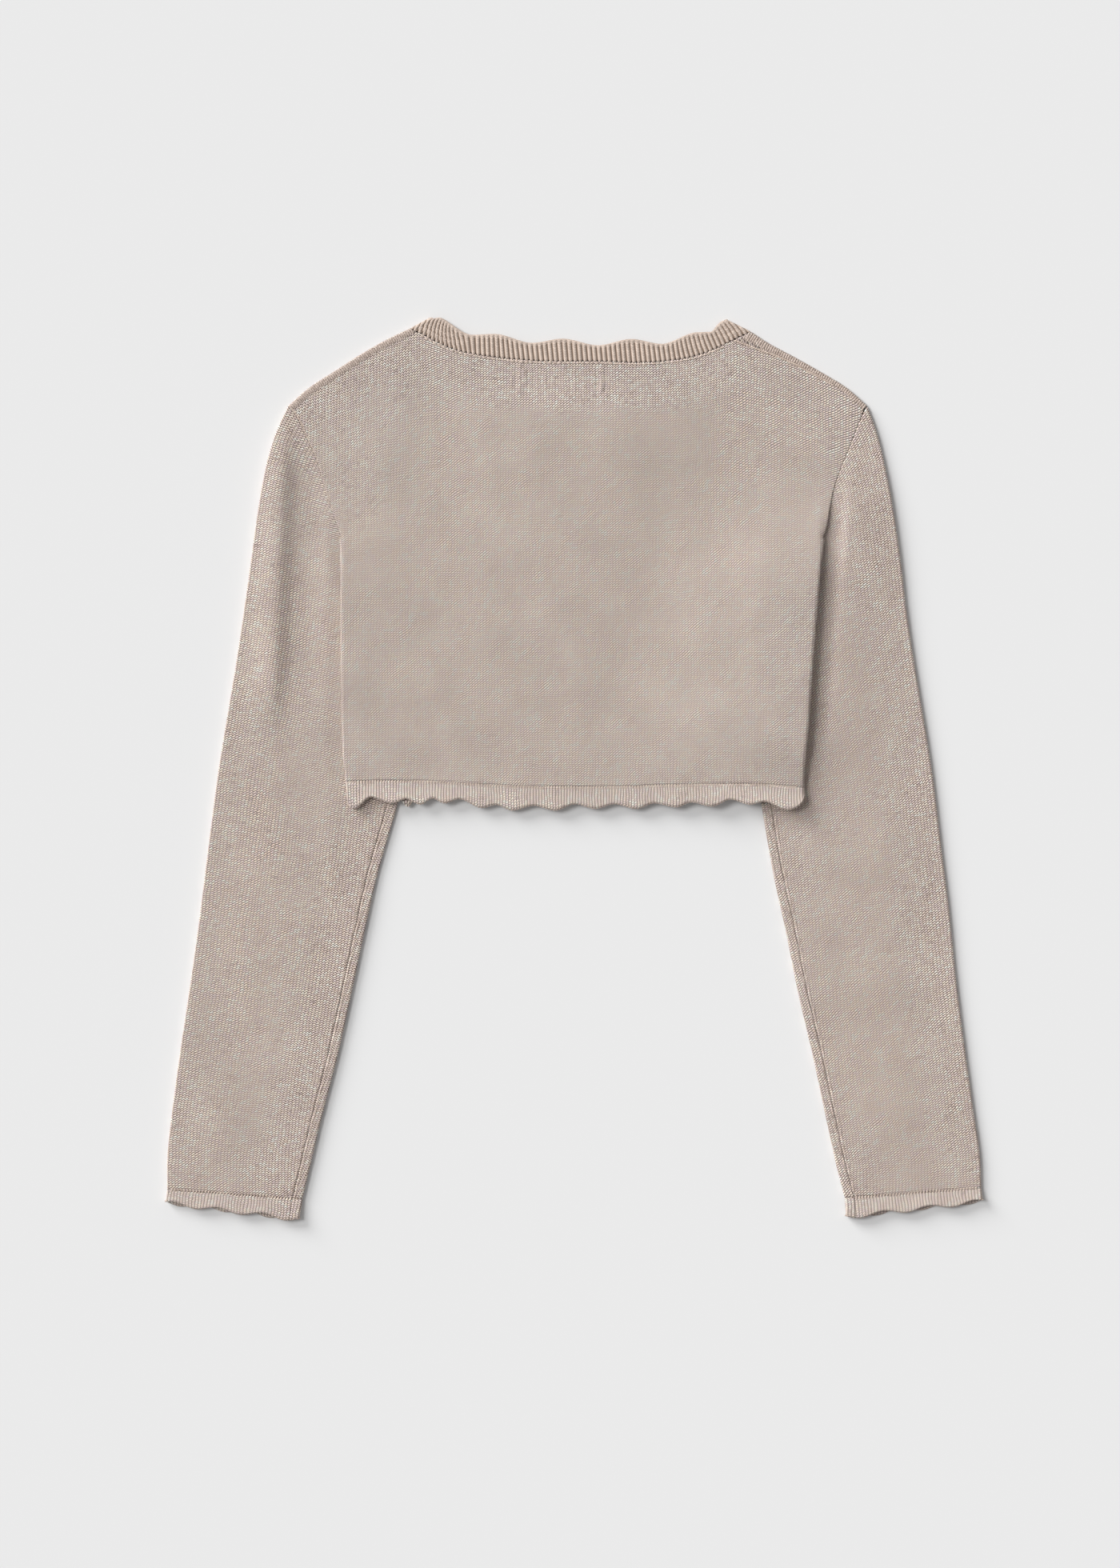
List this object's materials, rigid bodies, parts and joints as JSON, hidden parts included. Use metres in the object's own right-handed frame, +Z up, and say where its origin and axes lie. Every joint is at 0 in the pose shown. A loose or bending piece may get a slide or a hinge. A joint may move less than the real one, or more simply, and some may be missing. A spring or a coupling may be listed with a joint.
{
  "type": "cropped cardigan laid flat",
  "caption": "Cropped long-sleeved cardigan in fine beige jersey, laid flat with its back up, with a ribbed neckband and scalloped neck, hem and cuffs.",
  "frame": {"origin": "on the surface that the cardigan lies on, below the middle of its outline", "axes": "+X towards the wearer's right, +Y from the cuffs up to the neck, +Z up out of the surface; the back faces up"},
  "size_m": [0.5109, 0.5645, 0.0109],
  "materials": {
    "jersey": "matte",
    "rib": "matte",
    "button": "satin"
  },
  "bodies": {
    "root": {"back": "jersey", "front_left": "jersey", "front_right": "jersey", "sleeve_left": "jersey", "sleeve_right": "jersey", "neckband": "rib", "hem_back": "jersey", "hem_front_left": "jersey", "hem_front_right": "jersey", "cuff_left": "jersey", "cuff_right": "jersey", "band_left": "rib", "band_right": "rib", "button_1": "button", "button_2": "button", "button_3": "button", "button_4": "button", "button_5": "button"}
  },
  "joints": []
}
